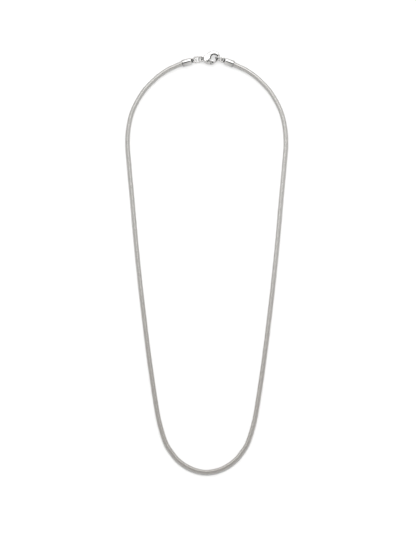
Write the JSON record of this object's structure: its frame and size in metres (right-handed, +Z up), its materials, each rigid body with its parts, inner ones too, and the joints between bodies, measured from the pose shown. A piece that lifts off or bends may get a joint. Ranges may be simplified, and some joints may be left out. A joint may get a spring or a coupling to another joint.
{
  "type": "snake chain necklace",
  "caption": "Round polished snake chain necklace lying flat and fastened, with plain end caps, jump rings and a sprung trigger clasp.",
  "frame": {"origin": "on the surface that the necklace lies on, under the middle of its outline", "axes": "+Z up from the surface, +Y from the bottom of the loop to the clasp, +X to the claw's side"},
  "size_m": [0.101, 0.2626, 0.0049],
  "materials": {
    "chain_steel": "polished snake links",
    "polished_steel": "mirror polished"
  },
  "bodies": {
    "necklace": {"snake_chain": "chain_steel", "end_cap_left": "polished_steel", "end_cap_right": "polished_steel", "jump_ring_left": "polished_steel", "jump_ring_right": "polished_steel", "clasp_body": "polished_steel", "clasp_pin": "polished_steel"},
    "lever": {"clasp_lever": "polished_steel"}
  },
  "joints": [
    {"name": "lever_hinge", "type": "hinge", "parent": "necklace", "child": "lever", "pos_m": [0.00041, 0.12465, 0.0024], "axis": [0, 0, 1], "range_deg": [0, 22], "stiffness_Nm_per_rad": 0.002, "springref_deg": -28.65}
  ]
}
